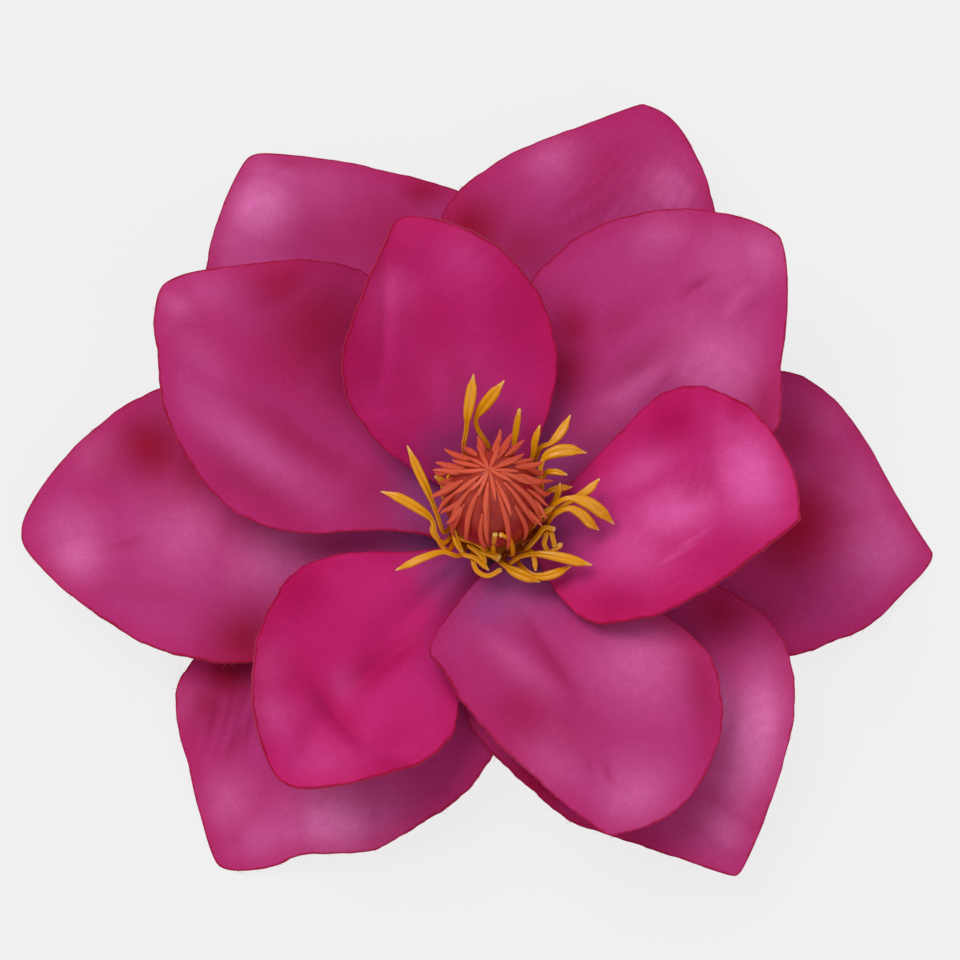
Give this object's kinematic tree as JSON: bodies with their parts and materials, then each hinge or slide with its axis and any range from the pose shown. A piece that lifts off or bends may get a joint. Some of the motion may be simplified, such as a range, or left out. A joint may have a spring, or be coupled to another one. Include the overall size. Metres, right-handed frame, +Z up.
{
  "type": "cloth replica magnolia flower",
  "caption": "Open magnolia bloom with layered magenta cloth petals, yellow stamens and a coral cone of styles, lying face up.",
  "frame": {"origin": "on the surface that the bloom rests on, under the middle of its bounding box", "axes": "+Z up out of the open bloom; +X and +Y lie in the surface, as right and up in the picture"},
  "size_m": [0.124, 0.1082, 0.0353],
  "materials": {
    "petal_cloth": "fine woven cloth, satin sheen",
    "inner_petal_cloth": "fine woven cloth, satin sheen",
    "stamen_yellow": "moulded, soft gloss",
    "pistil_coral": "moulded, waxy",
    "receptacle_green": "moulded, matt"
  },
  "bodies": {
    "root": {"outer_petal_upper_left": "petal_cloth", "outer_petal_lower_left": "petal_cloth", "outer_petal_right": "petal_cloth", "second_petal_top": "petal_cloth", "second_petal_left": "petal_cloth", "second_petal_lower_right": "petal_cloth", "third_petal_upper_left": "petal_cloth", "third_petal_upper_right": "petal_cloth", "third_petal_bottom": "petal_cloth", "inner_petal_top": "inner_petal_cloth", "inner_petal_right": "inner_petal_cloth", "inner_petal_lower_left": "inner_petal_cloth", "stamens": "stamen_yellow", "pistil": "pistil_coral", "receptacle": "receptacle_green"}
  },
  "joints": []
}
